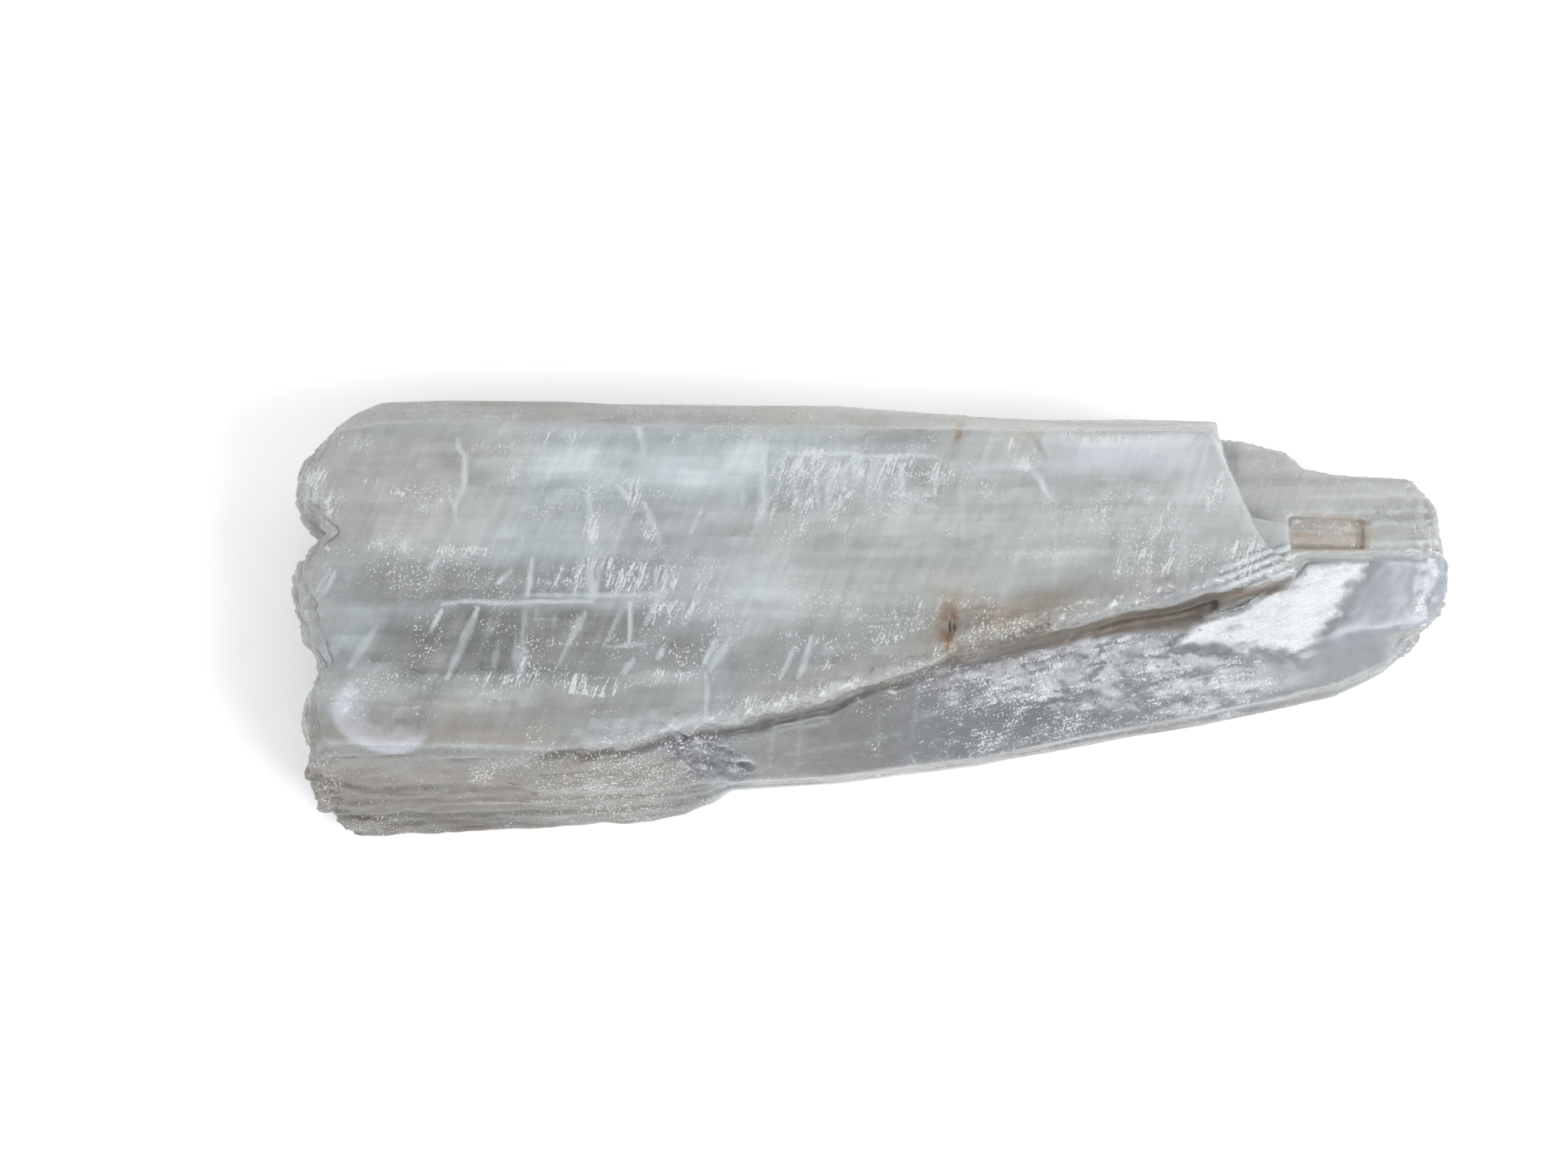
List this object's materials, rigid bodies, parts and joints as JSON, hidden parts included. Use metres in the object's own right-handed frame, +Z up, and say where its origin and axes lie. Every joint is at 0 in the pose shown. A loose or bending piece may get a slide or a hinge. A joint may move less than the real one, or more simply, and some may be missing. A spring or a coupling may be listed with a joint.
{
  "type": "selenite crystal",
  "caption": "Long flat slab of clear natural gypsum, split along its cleavage, with a stepped front ledge, a bevelled back edge and broken leafy ends, for display on a shelf.",
  "frame": {"origin": "under the middle of the crystal's box, on the cleavage face that it lies on", "axes": "+X along the crystal's length towards its narrow end, +Y towards the bevelled back edge, +Z up through the cleavage leaves"},
  "size_m": [0.16, 0.058, 0.029],
  "materials": {
    "selenite": "clear to milky gypsum with pearly cleavage faces, frosty breaks and light rusty staining"
  },
  "bodies": {
    "root": {"selenite_crystal": "selenite"}
  },
  "joints": []
}
